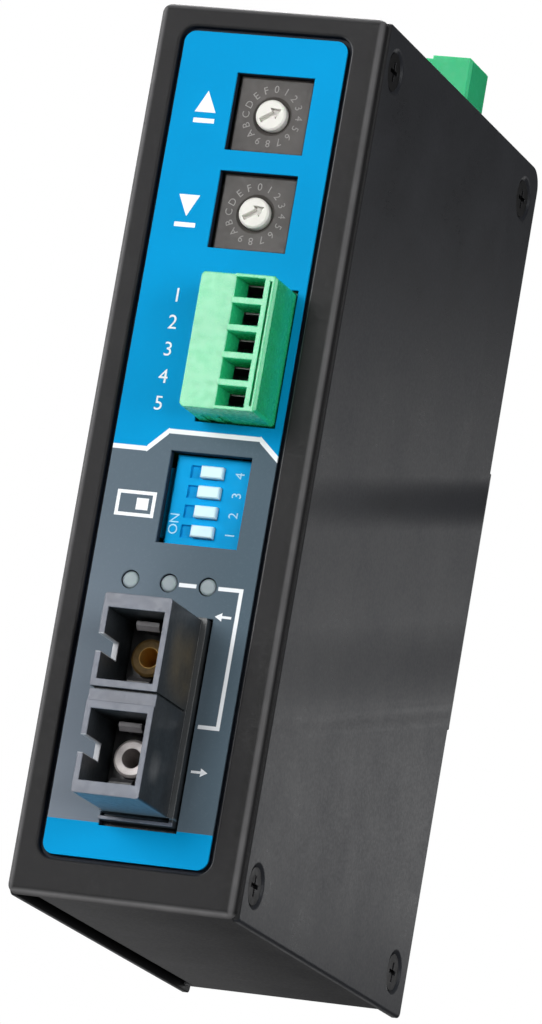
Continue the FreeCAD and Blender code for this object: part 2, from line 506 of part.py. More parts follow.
for z in FIB_Z:
    fib = fib.cut(box(FIB_X - PORT_W / 2, FIB_X + PORT_W / 2, YF - FIB_OUT - 1, YF - FIB_OUT + PORT_D, z - PORT_H / 2, z + PORT_H / 2))
    fib = fib.cut(box(x0 - 1, FIB_X - PORT_W / 2 + 0.1, YF - FIB_OUT - 1, YF - FIB_OUT + 5.5, z - 1.1, z + 1.1))      # keyway
    fib = fib.cut(cyl_y(SLEEVE_RO + 0.03, YF - FIB_OUT + PORT_D - 1, YF + 0.85, FIB_X, z))
keep("fibre_housing", fib)
lat = []
for z in FIB_Z:
    yb = YF - FIB_OUT + PORT_D
    p = box(FIB_X - 3.55, FIB_X + 3.55, yb - 1.0, yb, z - 4.35, z + 4.35)
    for s in (1, -1):
        za, zb = sorted((z + s * 3.45, z + s * 4.0))
        p = p.fuse(box(FIB_X - 1.5, FIB_X + 1.5, yb - 5.9, yb - 0.5, za, zb))
        # hooked tip
        p = p.fuse(prism([(FIB_X - 1.5, yb - 5.9, z + s * 3.5), (FIB_X - 1.5, yb - 5.0, z + s * 3.5), (FIB_X - 1.5, yb - 5.0, z + s * 2.95), (FIB_X - 1.5, yb - 5.3, z + s * 2.95)], (3.0, 0, 0)))
    p = p.removeSplitter().cut(cyl_y(SLEEVE_RO + 0.12, yb - 3, yb + 3, FIB_X, z))
    lat.append(p)
keep("fibre_latches", lat)
for name, z in (("upper", FIB_Z[0]), ("lower", FIB_Z[1])):
    s = cyl_y(SLEEVE_RO, YF - FIB_OUT + 7.0, YF + 0.8, FIB_X, z)
    s = chamfer_where(s, 0.3, lambda e: abs(e.CenterOfMass.y - (YF - FIB_OUT + 7.0)) < 1e-6 and len(e.Vertexes) == 1)
    s = s.cut(cyl_y(SLEEVE_RI, YF - 20, YF + 5, FIB_X, z))
    keep("fibre_sleeve_" + name, s)
FIB_PIN_Y = YF + 22.0
FIB_PINS = [zm + (i - 4) * 2.54 for i in range(9)]
keep("fibre_pins", [box(-7.6, BOARD_A[1], FIB_PIN_Y - 0.25, FIB_PIN_Y + 0.25, z - 0.25, z + 0.25) for z in FIB_PINS])

# ---------------------------------------------------------------- status lights: moulded light guide, lamp board and lamps
g = box(LED_X[0] - 1.2, LED_X[2] + 1.2, YF + 3.4, YF + 4.9, LED_Z - 1.0, LED_Z + 1.0)
for x in LED_X:
    rod = cyl_y(LED_R, YF + 0.3, YF + 7.0, x, LED_Z)
    rod = fillet_where(rod, 0.35, lambda e: abs(e.CenterOfMass.y - (YF + 0.3)) < 1e-6 and len(e.Vertexes) == 1)
    g = g.fuse(rod)
keep("light_guide", g.removeSplitter())
keep("lamp_board", box(-8.0, 6.3, YF + 8.0, YF + 9.0, LED_Z - 3.2, LED_Z + 3.2))
keep("status_lamps", [box(x - 0.8, x + 0.8, YF + 7.15, YF + 8.0, LED_Z - 0.6, LED_Z + 0.6) for x in LED_X])

# ---------------------------------------------------------------- main board and power board
SPACERS = [(YF + 18.0, 49.0), (YF + 40.0, 49.0), (YF + 60.0, -11.0), (YF + 26.0, -11.0)]
mb = box(BOARD_A[0], BOARD_A[1], YF + 2.2, YF + 66.5, -54.5, 54.5)
mb = mb.cut(box(-20, 20, YF, YF + 9.0, LED_Z - 3.6, LED_Z + 3.6))
for y, z in SPACERS + TABS[2:]:
    mb = mb.cut(cyl_x(1.6, -20, 20, y, z))
for z in FIB_PINS:
    mb = mb.cut(cyl_x(0.5, -20, 20, FIB_PIN_Y, z))
keep("main_board", mb)

pb = box(BOARD_B[0], BOARD_B[1], YF + 2.2, YF + 66.5, -16.0, 54.5)
for y, z in SPACERS:
    pb = pb.cut(cyl_x(1.6, 0, 30, y, z))
for i in range(SER_N):
    pb = pb.cut(cyl_x(0.75, 0, 30, YF + 11.65, SER_Z + (i - 2) * SER_PITCH))
for i in range(POW_N):
    pb = pb.cut(cyl_x(0.75, 0, 30, POW_Y + (i - 0.5) * POW_PITCH, POW_V0 - 11.65))
keep("power_board", pb)

sp = []
for i, (y, z) in enumerate(SPACERS):
    s = hexagon_x(5.0, BOARD_A[1], BOARD_B[0], y, z)
    s = s.cut(cyl_x(1.25, BOARD_B[0] - 5.5, 30, y, z))
    if i < 2:
        s = s.fuse(cyl_x(1.23, BOARD_A[0] - 2.6, BOARD_A[1] + 0.5, y, z)).removeSplitter()   # stud through the board into the chassis tab
    else:
        s = s.cut(cyl_x(1.25, -20, BOARD_A[1] + 5.5, y, z))
    sp.append(s)
keep("board_spacers", sp)


def pan_screw(x_seat, y, z, length, side):
    """Pan-head screw seated at x_seat; side +1 puts the head towards +X."""
    if side > 0:
        s = cyl_x(2.6, x_seat, x_seat + 1.7, y, z).fuse(cyl_x(1.23, x_seat - length, x_seat + 0.3, y, z))
        s = chamfer_where(s.removeSplitter(), 0.5, lambda e: abs(e.CenterOfMass.x - (x_seat + 1.7)) < 1e-6)
        s = s.cut(cross_x(x_seat + 1.7, 0.9, y, z, 1.4, 0.6))
    else:
        s = cyl_x(2.6, x_seat - 1.7, x_seat, y, z).fuse(cyl_x(1.23, x_seat - 0.3, x_seat + length, y, z))
        s = chamfer_where(s.removeSplitter(), 0.5, lambda e: abs(e.CenterOfMass.x - (x_seat - 1.7)) < 1e-6)
        s = s.cut(cross_x(x_seat - 0.8, 0.0, y, z, 1.4, 0.6).translated(V(-1.9, 0, 0)))
    return s


bs = [pan_screw(BOARD_A[0], y, z, 6.0, -1) for y, z in SPACERS[2:]]
bs += [pan_screw(BOARD_A[1], y, z, 4.2, 1) for y, z in TABS[2:]]
keep("board_screws", bs)
keep("power_board_screws", [cut(cyl_x(2.5, BOARD_B[1], BOARD_B[1] + 1.2, y, z).fuse(cyl_x(1.23, BOARD_B[1] - 6.0, BOARD_B[1] + 0.2, y, z)).removeSplitter(),
                                cross_x(BOARD_B[1] + 1.2, 0.7, y, z, 1.3, 0.55)) for y, z in SPACERS])

# ---------------------------------------------------------------- board-to-board link
LY, LZ = YF + 31.0, 20.0
strip = box(BOARD_A[1], -2.0, LY - 2.5, LY + 2.5, LZ - 10.3, LZ + 10.3)
for i in range(8):
    for sy in (-1, 1):
        z = LZ + (i - 3.5) * 2.54
        y = LY + sy * 1.27
        strip = strip.fuse(box(-2.2, 7.5, y - 0.32, y + 0.32, z - 0.32, z + 0.32))
keep("board_link_pins", strip.removeSplitter())
sock = box(2.1, BOARD_B[0], LY - 2.5, LY + 2.5, LZ - 10.3, LZ + 10.3)
for i in range(8):
    for sy in (-1, 1):
        z = LZ + (i - 3.5) * 2.54
        y = LY + sy * 1.27
        sock = sock.cut(box(2.0, 8.2, y - 0.4, y + 0.4, z - 0.4, z + 0.4))
keep("board_link_socket", sock)

# ---------------------------------------------------------------- chips and power components
def chip(y, z, ly, lz, h):
    c = box(BOARD_A[1], BOARD_A[1] + h, y - ly / 2, y + ly / 2, z - lz / 2, z + lz / 2)
    return chamfer_where(c, 0.25, lambda e: abs(e.CenterOfMass.x - (BOARD_A[1] + h)) < 1e-6)


keep("processor_chip", chip(YF + 44.0, -26.0, 12.0, 12.0, 1.4))
keep("interface_chips", [chip(YF + 17.0, 14.0, 6.0, 10.0, 1.75), chip(YF + 17.0, 30.0, 6.0, 10.0, 1.75), chip(YF + 44.0, 2.0, 7.5, 10.3, 2.3), chip(YF + 55.0, 2.0, 7.5, 10.3, 2.3)])
tr = box(0.2, BOARD_B[0], YF + 46.0, YF + 60.0, 17.0, 31.0)
tr = fillet_where(tr, 1.2, lambda e: along(e, "x"))
keep("power_transformer", tr)
caps = []
for y, z in ((YF + 20.0, 34.5), (YF + 20.0, 1.0)):
    c = cyl_x(4.0, -0.4, BOARD_B[0], y, z)
    c = fillet_where(c, 0.6, lambda e: abs(e.CenterOfMass.x + 0.4) < 1e-6 and len(e.Vertexes) == 1)
    caps.append(c)
keep("power_capacitors", caps)

# ---------------------------------------------------------------- export
os.makedirs("parts", exist_ok=True)
for old in os.listdir("parts"):
    if old.endswith(".step") and old[:-5] not in PARTS:
        os.remove(os.path.join("parts", old))
for name, solids in PARTS.items():
    for s in solids:
        if not s.isValid() or s.Volume <= 0:
            print("BAD SOLID", name, s.isValid(), s.Volume)
    shape = solids[0] if len(solids) == 1 else Part.makeCompound(solids)
    shape.exportStep(os.path.join("parts", name + ".step"))
print(len(PARTS), "nodes")
for name in sorted(PARTS):
    bb = FreeCAD.BoundBox()
    for s in PARTS[name]:
        bb.add(s.BoundBox)
    print("%-22s %2d solids  vol %9.2f mm3  x %.2f..%.2f  y %.2f..%.2f  z %.2f..%.2f" % (
        name, len(PARTS[name]), sum(s.Volume for s in PARTS[name]), bb.XMin, bb.XMax, bb.YMin, bb.YMax, bb.ZMin, bb.ZMax))
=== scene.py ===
import json
import math

import bpy
from mathutils import Matrix, Vector

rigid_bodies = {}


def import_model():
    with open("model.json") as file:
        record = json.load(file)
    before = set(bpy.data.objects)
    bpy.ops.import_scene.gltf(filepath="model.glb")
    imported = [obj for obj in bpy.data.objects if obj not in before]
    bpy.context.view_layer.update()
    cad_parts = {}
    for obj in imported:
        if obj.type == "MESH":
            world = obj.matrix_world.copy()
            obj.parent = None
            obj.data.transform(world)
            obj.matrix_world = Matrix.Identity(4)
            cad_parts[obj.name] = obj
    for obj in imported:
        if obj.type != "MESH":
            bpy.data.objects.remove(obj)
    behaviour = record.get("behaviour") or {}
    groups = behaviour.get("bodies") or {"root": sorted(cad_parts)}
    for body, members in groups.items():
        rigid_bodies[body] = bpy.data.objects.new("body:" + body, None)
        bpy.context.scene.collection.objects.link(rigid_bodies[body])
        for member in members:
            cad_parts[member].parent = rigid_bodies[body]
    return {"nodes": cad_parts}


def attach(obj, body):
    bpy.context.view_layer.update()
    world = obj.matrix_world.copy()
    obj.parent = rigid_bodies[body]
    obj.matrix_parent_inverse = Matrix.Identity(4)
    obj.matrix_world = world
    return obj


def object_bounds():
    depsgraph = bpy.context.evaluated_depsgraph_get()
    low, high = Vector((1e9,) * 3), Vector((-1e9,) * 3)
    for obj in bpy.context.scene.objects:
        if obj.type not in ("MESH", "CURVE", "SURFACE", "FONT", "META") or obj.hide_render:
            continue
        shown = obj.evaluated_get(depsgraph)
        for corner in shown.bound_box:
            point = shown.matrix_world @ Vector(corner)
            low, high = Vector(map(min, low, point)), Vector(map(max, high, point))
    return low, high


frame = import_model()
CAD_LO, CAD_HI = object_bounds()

NODES = frame["nodes"]
MM = 0.001
scene = bpy.context.scene


# ---------------------------------------------------------------- material kit
class Mat:
    """A small helper that builds one node material."""

    def __init__(self, name, **fixed):
        self.m = bpy.data.materials.new(name)
        self.m.use_nodes = True
        self.nt = self.m.node_tree
        self.nt.nodes.clear()
        out = self.nt.nodes.new("ShaderNodeOutputMaterial")
        self.b = self.nt.nodes.new("ShaderNodeBsdfPrincipled")
        self.nt.links.new(self.b.outputs[0], out.inputs[0])
        tc = self.nt.nodes.new("ShaderNodeTexCoord")
        self.obj = tc.outputs["Object"]
        sep = self.nt.nodes.new("ShaderNodeSeparateXYZ")
        self.nt.links.new(self.obj, sep.inputs[0])
        self.x, self.y, self.z = (self.math("MULTIPLY", sep.outputs[i], 1000.0) for i in range(3))
        self.dull = None
        for k, v in fixed.items():
            self.set(k.replace("_", " "), v)

    def put(self, socket, v):
        if isinstance(v, bpy.types.NodeSocket):
            self.nt.links.new(v, socket)
        else:
            socket.default_value = v

    def set(self, name, v):
        self.put(self.b.inputs[name], v)

    def math(self, op, a, b=0.0, c=0.0, clamp=False):
        n = self.nt.nodes.new("ShaderNodeMath")
        n.operation, n.use_clamp = op, clamp
        for i, v in enumerate((a, b, c)):
            self.put(n.inputs[i], v)
        return n.outputs[0]

    def noise(self, scale, detail=2.0, rough=0.5, stretch=None):
        v = self.obj
        if stretch:
            mp = self.nt.nodes.new("ShaderNodeMapping")
            self.nt.links.new(v, mp.inputs["Vector"])
            mp.inputs["Scale"].default_value = stretch
            v = mp.outputs[0]
        n = self.nt.nodes.new("ShaderNodeTexNoise")
        self.nt.links.new(v, n.inputs["Vector"])
        n.inputs["Scale"].default_value = scale
        n.inputs["Detail"].default_value = detail
        n.inputs["Roughness"].default_value = rough
        return n.outputs[0]

    def cells(self, scale):
        n = self.nt.nodes.new("ShaderNodeTexVoronoi")
        self.nt.links.new(self.obj, n.inputs["Vector"])
        n.inputs["Scale"].default_value = scale
        return n.outputs["Distance"]

    def ramp(self, fac, lo, hi, a, b):
        """a below lo, b above hi, straight between."""
        n = self.nt.nodes.new("ShaderNodeMapRange")
        n.clamp = True
        for i, v in enumerate((fac, lo, hi, a, b)):
            self.put(n.inputs[i], v)
        return n.outputs[0]

    def mix(self, fac, a, b):
        n = self.nt.nodes.new("ShaderNodeMix")
        n.data_type = "RGBA"
        self.put(n.inputs[0], fac)
        for i, v in ((6, a), (7, b)):
            self.put(n.inputs[i], (*v, 1.0) if isinstance(v, tuple) and len(v) == 3 else v)
        return n.outputs[2]

    def tint(self, colour, amount, fac):
        """colour, lighter and darker by amount with fac from 0 to 1."""
        lo = tuple(max(0.0, c * (1 - amount)) for c in colour)
        hi = tuple(min(1.0, c * (1 + amount)) for c in colour)
        return self.mix(fac, lo, hi)

    def inside(self, v, lo, hi, soft=0.06):
        """1 where lo < v < hi."""
        a = self.ramp(v, lo - soft / 2, lo + soft / 2, 0.0, 1.0)
        b = self.ramp(v, hi - soft / 2, hi + soft / 2, 1.0, 0.0)
        return self.math("MULTIPLY", a, b)

    def both(self, a, b):
        return self.math("MULTIPLY", a, b)

    def either(self, *vs):
        r = vs[0]
        for v in vs[1:]:
            r = self.math("MAXIMUM", r, v)
        return r

    def bevel(self, radius_mm, samples=4):
        n = self.nt.nodes.new("ShaderNodeBevel")
        n.samples = samples
        n.inputs["Radius"].default_value = radius_mm * MM
        return n.outputs[0]

    def bump(self, height, strength, distance_mm, normal=None):
        n = self.nt.nodes.new("ShaderNodeBump")
        n.inputs["Strength"].default_value = strength
        n.inputs["Distance"].default_value = distance_mm * MM
        self.put(n.inputs["Height"], height)
        if normal is not None:
            self.put(n.inputs["Normal"], normal)
        return n.outputs[0]

    def edge(self, bevelled, gain):
        """0 on the flat, towards 1 on an outer or inner edge."""
        g = self.nt.nodes.new("ShaderNodeNewGeometry")
        d = self.nt.nodes.new("ShaderNodeVectorMath")
        d.operation = "DOT_PRODUCT"
        self.nt.links.new(bevelled, d.inputs[0])
        self.nt.links.new(g.outputs["Normal"], d.inputs[1])
        return self.math("MULTIPLY", self.math("SUBTRACT", 1.0, d.outputs["Value"]), gain, clamp=True)


def powder_coat(name, colour, rough, wear, spec=0.5, shade=None, extra=None, edge_rough=0.0):
    """Fine-textured powder coat on sheet steel, a little rubbed on its edges."""
    m = Mat(name, IOR=1.5)
    m.set("Specular IOR Level", spec)
    bev = m.bevel(0.35)
    cloud = m.noise(90.0, 3.0, 0.6)
    grain = m.noise(2600.0, 2.0, 0.6)
    peel = m.noise(700.0, 2.0, 0.5)
    edge = m.edge(bev, 6.0)
    rubbed = m.both(edge, m.ramp(m.noise(420.0, 4.0, 0.65), 0.48, 0.66, 0.0, 1.0))
    base = m.tint(colour, 0.16, m.ramp(cloud, 0.3, 0.7, 0.0, 1.0))
    base = m.mix(m.math("MULTIPLY", m.ramp(grain, 0.55, 0.75, 0.0, 1.0), 0.18), base, tuple(min(1.0, c * 1.9 + 0.01) for c in colour))
    base = m.mix(m.math("MULTIPLY", rubbed, wear), base, (0.20, 0.20, 0.21))
    if shade is not None:
        base = shade(m, base)
    m.set("Base Color", base)
    r = m.math("ADD", m.ramp(grain, 0.3, 0.7, rough - 0.05, rough + 0.05), m.ramp(cloud, 0.3, 0.7, -0.035, 0.035))
    r = m.math("MULTIPLY_ADD", edge, edge_rough, r)
    m.set("Roughness", r if m.dull is None else m.math("MULTIPLY_ADD", m.dull, 0.4, r))
    h = m.math("ADD", m.math("MULTIPLY", grain, 0.6), m.math("MULTIPLY", peel, 0.5))
    n = m.bump(h, 0.16, 0.05, bev)
    if extra is not None:
        n = extra(m, n)
    m.set("Normal", n)
    return m


def plastic(name, colour, rough, vary=0.08, bump=0.12, spec=0.5, fine=1700.0, sss=0.0, bevel=0.14):
    """Moulded plastic with a spark-eroded grain and soft edges."""
    m = Mat(name, IOR=1.48)
    m.set("Specular IOR Level", spec)
    bev = m.bevel(bevel)
    grain = m.noise(fine, 3.0, 0.55)
    cloud = m.noise(160.0, 2.0, 0.5)
    edge = m.edge(bev, 4.0)
    base = m.tint(colour, vary, m.ramp(cloud, 0.3, 0.7, 0.0, 1.0))
    m.set("Base Color", m.mix(m.math("MULTIPLY", edge, 0.25), base, tuple(min(1.0, c * 1.25 + 0.03) for c in colour)))
    m.set("Roughness", m.ramp(grain, 0.3, 0.7, rough - 0.06, rough + 0.06))
    m.set("Normal", m.bump(grain, bump, 0.03, bev))
    if sss:
        m.set("Subsurface Weight", sss)
        m.set("Subsurface Radius", (0.6, 1.0, 0.6))
        m.set("Subsurface Scale", 0.0008)
    return m


def metal(name, colour, rough, stretch, vary=0.15, metallic=1.0):
    """Plated or turned metal with fine tool marks along one way."""
    m = Mat(name, Metallic=metallic)
    bev = m.bevel(0.10)
    lines = m.noise(2200.0, 3.0, 0.6, stretch)
    stain = m.noise(500.0, 3.0, 0.6)
    base = m.tint(colour, vary, m.ramp(lines, 0.3, 0.7, 0.0, 1.0))
    m.set("Base Color", m.mix(m.math("MULTIPLY", m.ramp(stain, 0.5, 0.75, 0.0, 1.0), 0.25), base, tuple(c * 0.55 for c in colour)))
    m.set("Roughness", m.ramp(stain, 0.3, 0.7, rough - 0.07, rough + 0.09))
    m.set("Normal", m.bump(lines, 0.10, 0.02, bev))
    return m


# ---------------------------------------------------------------- materials
def cover_dents(m, normal):
    """The right cover is drawn in a little where its rear fold begins and ends: soft waves run forward from there and fade."""
    q = m.math("MULTIPLY_ADD", m.math("ADD", m.y, 4.0), -0.2468, m.z)
    fade = m.both(m.ramp(m.y, -72.0, -15.0, 0.45, 1.0), m.ramp(m.x, 0.0, 1.0, 0.0, 1.0))
    total = None
    for lo, hi, rise in ((8.2, 15.6, -1.05), (-14.5, -4.0, -1.15), (-18.4, -15.2, 0.36)):
        n = m.nt.nodes.new("ShaderNodeMapRange")
        n.interpolation_type = "SMOOTHSTEP"
        for i, v in enumerate((q, lo, hi, 0.0, rise)):
            m.put(n.inputs[i], v)
        total = n.outputs[0] if total is None else m.math("ADD", total, n.outputs[0])
    return m.bump(m.both(total, fade), 1.0, 1.0, normal)


def cover_painted_shade(m, base):
    """Painted shade: the cut edges at the front and the faces turned inwards are painted near black as shade; the front
    edges are also made rougher.
    """
    inner = m.ramp(m.math("ABSOLUTE", m.x), 14.30, 14.45, 1.0, 0.0)
    front = m.ramp(m.y, -71.02, -70.85, 1.0, 0.0)
    m.dull = front
    return m.mix(m.either(inner, front), base, (0.006, 0.006, 0.007))


def bezel_painted_light(m, base):
    """Painted light: the groove round the label and the window walls are painted dark as shade, a strip inside the
    right rounded edge is painted dark as shade, and the rounded outer edges and the groove's right-hand lip are painted
    paler as highlights.
    """
    ax, az = m.math("ABSOLUTE", m.x), m.math("ABSOLUTE", m.z)
    middle = m.both(m.ramp(ax, 12.9, 13.1, 1.0, 0.0), m.ramp(az, 55.9, 56.1, 1.0, 0.0))
    # painted shade: the groove round the label and the walls of the windows are painted near black
    low = m.both(middle, m.ramp(m.y, -72.66, -72.54, 0.0, 1.0))
    # painted highlight: the groove's right-hand lip and the rounded left, right, top and bottom edges are painted
    # paler, broken up a little by noise
    groove_lip_highlight = m.both(m.both(middle, m.inside(m.y, -72.88, -72.63, 0.02)), m.ramp(m.x, 9.5, 11.0, 0.0, 1.0))
    side_edge_highlight = m.either(m.ramp(m.x, -14.45, -14.05, 1.0, 0.0), m.inside(m.x, 14.2, 14.8, 0.3))
    rim = m.either(side_edge_highlight, m.ramp(az, 56.7, 57.1, 0.0, 1.0), groove_lip_highlight)
    highlight_noise = m.ramp(m.noise(260.0, 3.0, 0.6), 0.3, 0.7, 0.75, 1.0)
    # painted shade: a dark strip just inside the right rounded edge
    base = m.mix(m.both(m.inside(ax, 13.3, 13.95, 0.5), m.ramp(m.x, 0.0, 1.0, 0.0, 0.7)), base, (0.006, 0.006, 0.006))
    # painted highlight on the rounded edges, paler still along the bottom edge
    base = m.mix(m.both(rim, highlight_noise), base, m.mix(m.ramp(m.z, -57.1, -56.7, 1.0, 0.0), (0.085, 0.084, 0.086), (0.135, 0.133, 0.135)))
    return m.mix(low, base, (0.007, 0.011, 0.020))


cover_paint = powder_coat("cover_paint", (0.0172, 0.0188, 0.0232), 0.34, 0.16, 0.5, cover_painted_shade, cover_dents, 0.30)
bezel_paint = powder_coat("bezel_paint", (0.0085, 0.0083, 0.0090), 0.56, 0.15, 0.22, bezel_painted_light)


def chassis_painted_sheen(m, base):
    """Painted sheen: the bottom wall is painted paler towards the left cover, broken up by noise, as reflected light.
    """
    low = m.both(m.ramp(m.z, -56.5, -56.3, 1.0, 0.0), m.ramp(m.noise(60.0, 3.0, 0.6), 0.3, 0.7, 0.8, 1.0))
    return m.mix(m.both(low, m.ramp(m.x, -12.0, 9.0, 1.0, 0.0)), base, (0.115, 0.115, 0.118))


chassis_paint = powder_coat("chassis_paint", (0.018, 0.018, 0.020), 0.50, 0.22, 0.4, chassis_painted_sheen)


def label_film():
    """Printed film: two colour fields, their dividing line and a bracket from the lamps to the ports."""
    m = Mat("label_film", IOR=1.45)
    m.set("Specular IOR Level", 0.03)
    x, z = m.x, m.z
    rise = m.math("MULTIPLY", m.ramp(x, -6.78, -4.22, 0.0, 1.0), 2.5)
    fall = m.math("MULTIPLY", m.ramp(x, 7.85, 10.5, 0.0, 1.0), 2.3)
    div = m.math("ADD", m.math("SUBTRACT", rise, fall), -0.1)
    d = m.math("SUBTRACT", z, div)
    slope = m.either(m.inside(x, -6.78, -4.22), m.inside(x, 7.85, 10.6))
    half = m.math("MULTIPLY_ADD", slope, 0.12, 0.30)
    line = m.ramp(m.math("SUBTRACT", m.math("ABSOLUTE", d), half), -0.03, 0.03, 1.0, 0.0)
    blue = m.either(m.ramp(d, -0.03, 0.03, 0.0, 1.0), m.ramp(z, -47.63, -47.57, 1.0, 0.0))
    h1 = m.both(m.inside(z, -17.13, -16.63), m.either(m.inside(x, 0.55, 2.85), m.inside(x, 5.75, 9.05)))
    v1 = m.both(m.inside(x, 8.55, 9.05), m.inside(z, -34.6, -16.63))
    h2 = m.both(m.inside(z, -34.6, -34.1), m.inside(x, 6.2, 9.05))
    white = m.either(line, h1, v1, h2)
    cloud = m.ramp(m.noise(70.0, 2.0, 0.5), 0.3, 0.7, 0.0, 1.0)
    fine = m.noise(3200.0, 2.0, 0.6)
    ink_blue = m.tint((0.0010, 0.270, 0.568), 0.05, cloud)
    ink_grey = m.tint((0.100, 0.138, 0.178), 0.07, cloud)
    # painted sheen: the grey field is painted paler towards its lower left, as light falling there
    pale = m.both(m.ramp(x, -11.0, 9.0, 1.0, 0.0), m.ramp(z, -45.0, -6.0, 1.0, 0.25))
    ink_grey = m.mix(pale, m.mix(0.7, ink_grey, (0.070, 0.104, 0.128)), (0.178, 0.207, 0.246))
    ink = m.mix(blue, ink_grey, ink_blue)
    ink = m.mix(m.ramp(fine, 0.55, 0.8, 0.0, 0.12), ink, m.mix(blue, (0.20, 0.25, 0.30), (0.003, 0.36, 0.71)))
    m.set("Base Color", m.mix(white, ink, (0.80, 0.83, 0.86)))
    m.set("Roughness", m.ramp(fine, 0.3, 0.7, 0.50, 0.62))
    h = m.math("ADD", m.math("MULTIPLY", fine, 0.35), m.math("MULTIPLY", white, 0.6))
    m.set("Normal", m.bump(h, 0.10, 0.03, m.bevel(0.10)))
    return m


label = label_film()
green = plastic("terminal_green", (0.016, 0.43, 0.175), 0.26, 0.07, 0.08, 0.62, 1500.0, 0.40, 0.18)
green_top = plastic("terminal_green_top", (0.016, 0.43, 0.175), 0.46, 0.07, 0.10, 0.32, 1500.0, 0.40, 0.18)
black = plastic("black_moulding", (0.014, 0.014, 0.016), 0.40, 0.20, 0.14)
switch_face = plastic("switch_grey", (0.060, 0.054, 0.050), 0.55, 0.12, 0.20)
switch_blue = plastic("switch_blue", (0.002, 0.36, 0.76), 0.55, 0.06, 0.12, 0.06)
white = plastic("switch_white", (0.63, 0.62, 0.58), 0.42, 0.03, 0.10, 0.4, 1800.0, 0.15)
slider_white = plastic("slider_white", (0.58, 0.80, 0.87), 0.42, 0.03, 0.10, 0.4, 1800.0, 0.15)
milky = plastic("light_guide_milk", (0.235, 0.285, 0.305), 0.36, 0.10, 0.06, 0.25, 1800.0, 0.4)
lamp_white = plastic("lamp_white", (0.75, 0.74, 0.66), 0.35, 0.04, 0.08)
chip = plastic("chip_epoxy", (0.020, 0.020, 0.021), 0.60, 0.15, 0.25)
steel = metal("zinc_steel", (0.60, 0.60, 0.62), 0.32, (1.0, 6.0, 1.0))
spring_steel = metal("spring_steel", (0.52, 0.52, 0.53), 0.28, (0.2, 3.0, 3.0))
black_steel = metal("black_screw", (0.045, 0.045, 0.048), 0.38, (1.0, 4.0, 4.0), 0.3)
tin = metal("tinned_brass", (0.70, 0.62, 0.44), 0.30, (1.0, 5.0, 1.0))
dull = metal("dull_tin", (0.17, 0.17, 0.165), 0.45, (1.0, 5.0, 1.0))
rail_black = metal("rail_anodised", (0.040, 0.040, 0.043), 0.42, (0.25, 4.0, 4.0), 0.25, 0.85)
sleeve_bright = metal("sleeve_bright", (0.50, 0.46, 0.45), 0.36, (4.0, 0.4, 4.0), 0.10, 0.10)


def amber_sleeve():
    m = Mat("sleeve_amber", IOR=1.5)
    swirl = m.noise(900.0, 3.0, 0.6, (1.0, 0.25, 1.0))
    # the front ring is dark amber, the bore behind it glows warmer
    r = m.math("SQRT", m.math("ADD", m.math("POWER", m.math("ADD", m.x, -0.3), 2.0), m.math("POWER", m.math("ADD", m.z, 27.4), 2.0)))
    bore = m.ramp(r, 1.27, 1.36, 1.0, 0.0)
    ring = m.mix(m.ramp(swirl, 0.3, 0.7, 0.0, 1.0), (0.075, 0.045, 0.014), (0.15, 0.095, 0.035))
    m.set("Base Color", m.mix(bore, ring, (0.62, 0.38, 0.11)))
    m.set("Specular IOR Level", 0.06)
    m.set("Roughness", m.ramp(swirl, 0.3, 0.7, 0.42, 0.56))
    m.set("Normal", m.bump(swirl, 0.08, 0.02, m.bevel(0.10)))
    return m


def board_mask():
    """Solder mask over copper runs."""
    m = Mat("board_mask", IOR=1.5)
    runs = m.cells(260.0)
    weave = m.noise(900.0, 2.0, 0.5)
    copper = m.ramp(runs, 0.30, 0.36, 1.0, 0.0)
    base = m.mix(m.math("MULTIPLY", copper, 0.6), (0.008, 0.075, 0.030), (0.025, 0.16, 0.055))
    m.set("Base Color", m.mix(m.ramp(weave, 0.4, 0.7, 0.0, 0.3), base, (0.01, 0.10, 0.04)))
    m.set("Roughness", m.ramp(weave, 0.3, 0.7, 0.28, 0.40))
    m.set("Normal", m.bump(copper, 0.20, 0.04, m.bevel(0.10)))
    return m


